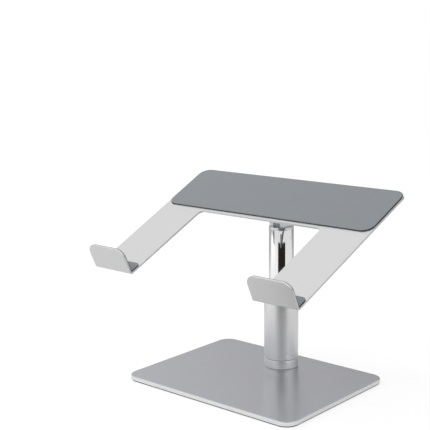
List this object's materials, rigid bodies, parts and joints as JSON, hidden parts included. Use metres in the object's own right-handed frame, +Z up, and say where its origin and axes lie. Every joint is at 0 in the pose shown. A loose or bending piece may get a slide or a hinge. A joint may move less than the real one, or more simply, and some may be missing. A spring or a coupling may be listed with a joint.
{
  "type": "laptop stand",
  "caption": "Laptop stand: a slanted U-shaped metal tray with two front hooks and grey pads, on a telescopic round column that swivels on a flat rectangular base.",
  "frame": {"origin": "on the desk plane, under the column's axis", "axes": "+Z up, +X to the user's right along the tray's width, -Y towards the user"},
  "size_m": [0.2914, 0.2126, 0.223],
  "materials": {
    "satin_aluminium": "fine bead-blasted and clear anodised, satin",
    "satin_aluminium_tube": "satin anodised tube",
    "pearl_aluminium": "fine bead-blasted and clear anodised, pale satin",
    "plain_aluminium": "machined",
    "polished_chrome": "mirror polished",
    "bright_steel": "bright",
    "zinc_steel": "zinc plated",
    "spring_steel": "dark spring steel",
    "grey_silicone": "matt blue-grey silicone",
    "black_rubber": "matt non-slip sheet",
    "dark_polymer": "slippery filled polymer",
    "grey_polymer": "matt moulded",
    "white_polymer": "natural white acetal"
  },
  "bodies": {
    "base": {"base_plate": "satin_aluminium", "base_mat": "black_rubber", "base_collar": "satin_aluminium_tube", "collar_screws": "zinc_steel", "swivel_washer": "dark_polymer", "swivel_spring": "spring_steel", "swivel_bolt": "zinc_steel"},
    "column": {"outer_tube": "satin_aluminium_tube", "foot_plug": "plain_aluminium", "foot_bush": "white_polymer", "foot_screws": "bright_steel", "top_bush": "grey_polymer", "stop_bumper": "black_rubber"},
    "mast": {"inner_tube": "polished_chrome", "slide_bush": "white_polymer", "friction_band": "spring_steel", "retaining_ring": "spring_steel", "end_plug": "plain_aluminium", "end_pin": "zinc_steel", "hinge_fork": "plain_aluminium", "fork_pin": "zinc_steel", "hinge_barrel": "bright_steel", "hinge_bolt": "bright_steel", "hinge_washers": "white_polymer"},
    "tray": {"tray_plate": "pearl_aluminium", "hinge_bracket": "satin_aluminium", "bracket_screws": "zinc_steel", "rear_pad": "grey_silicone", "left_hook_pad": "grey_silicone", "right_hook_pad": "grey_silicone"}
  },
  "joints": [
    {"name": "swivel", "type": "hinge", "parent": "base", "child": "column", "pos_m": [0, 0, 0.0163], "axis": [0, 0, 1], "continuous": true},
    {"name": "height_slide", "type": "slide", "parent": "column", "child": "mast", "axis": [0, 0, 1], "range_m": [-0.0245, 0.0105]},
    {"name": "tray_tilt", "type": "hinge", "parent": "mast", "child": "tray", "pos_m": [0, 0, 0.1863], "axis": [1, 0, 0], "range_deg": [-24.7, 15]}
  ]
}
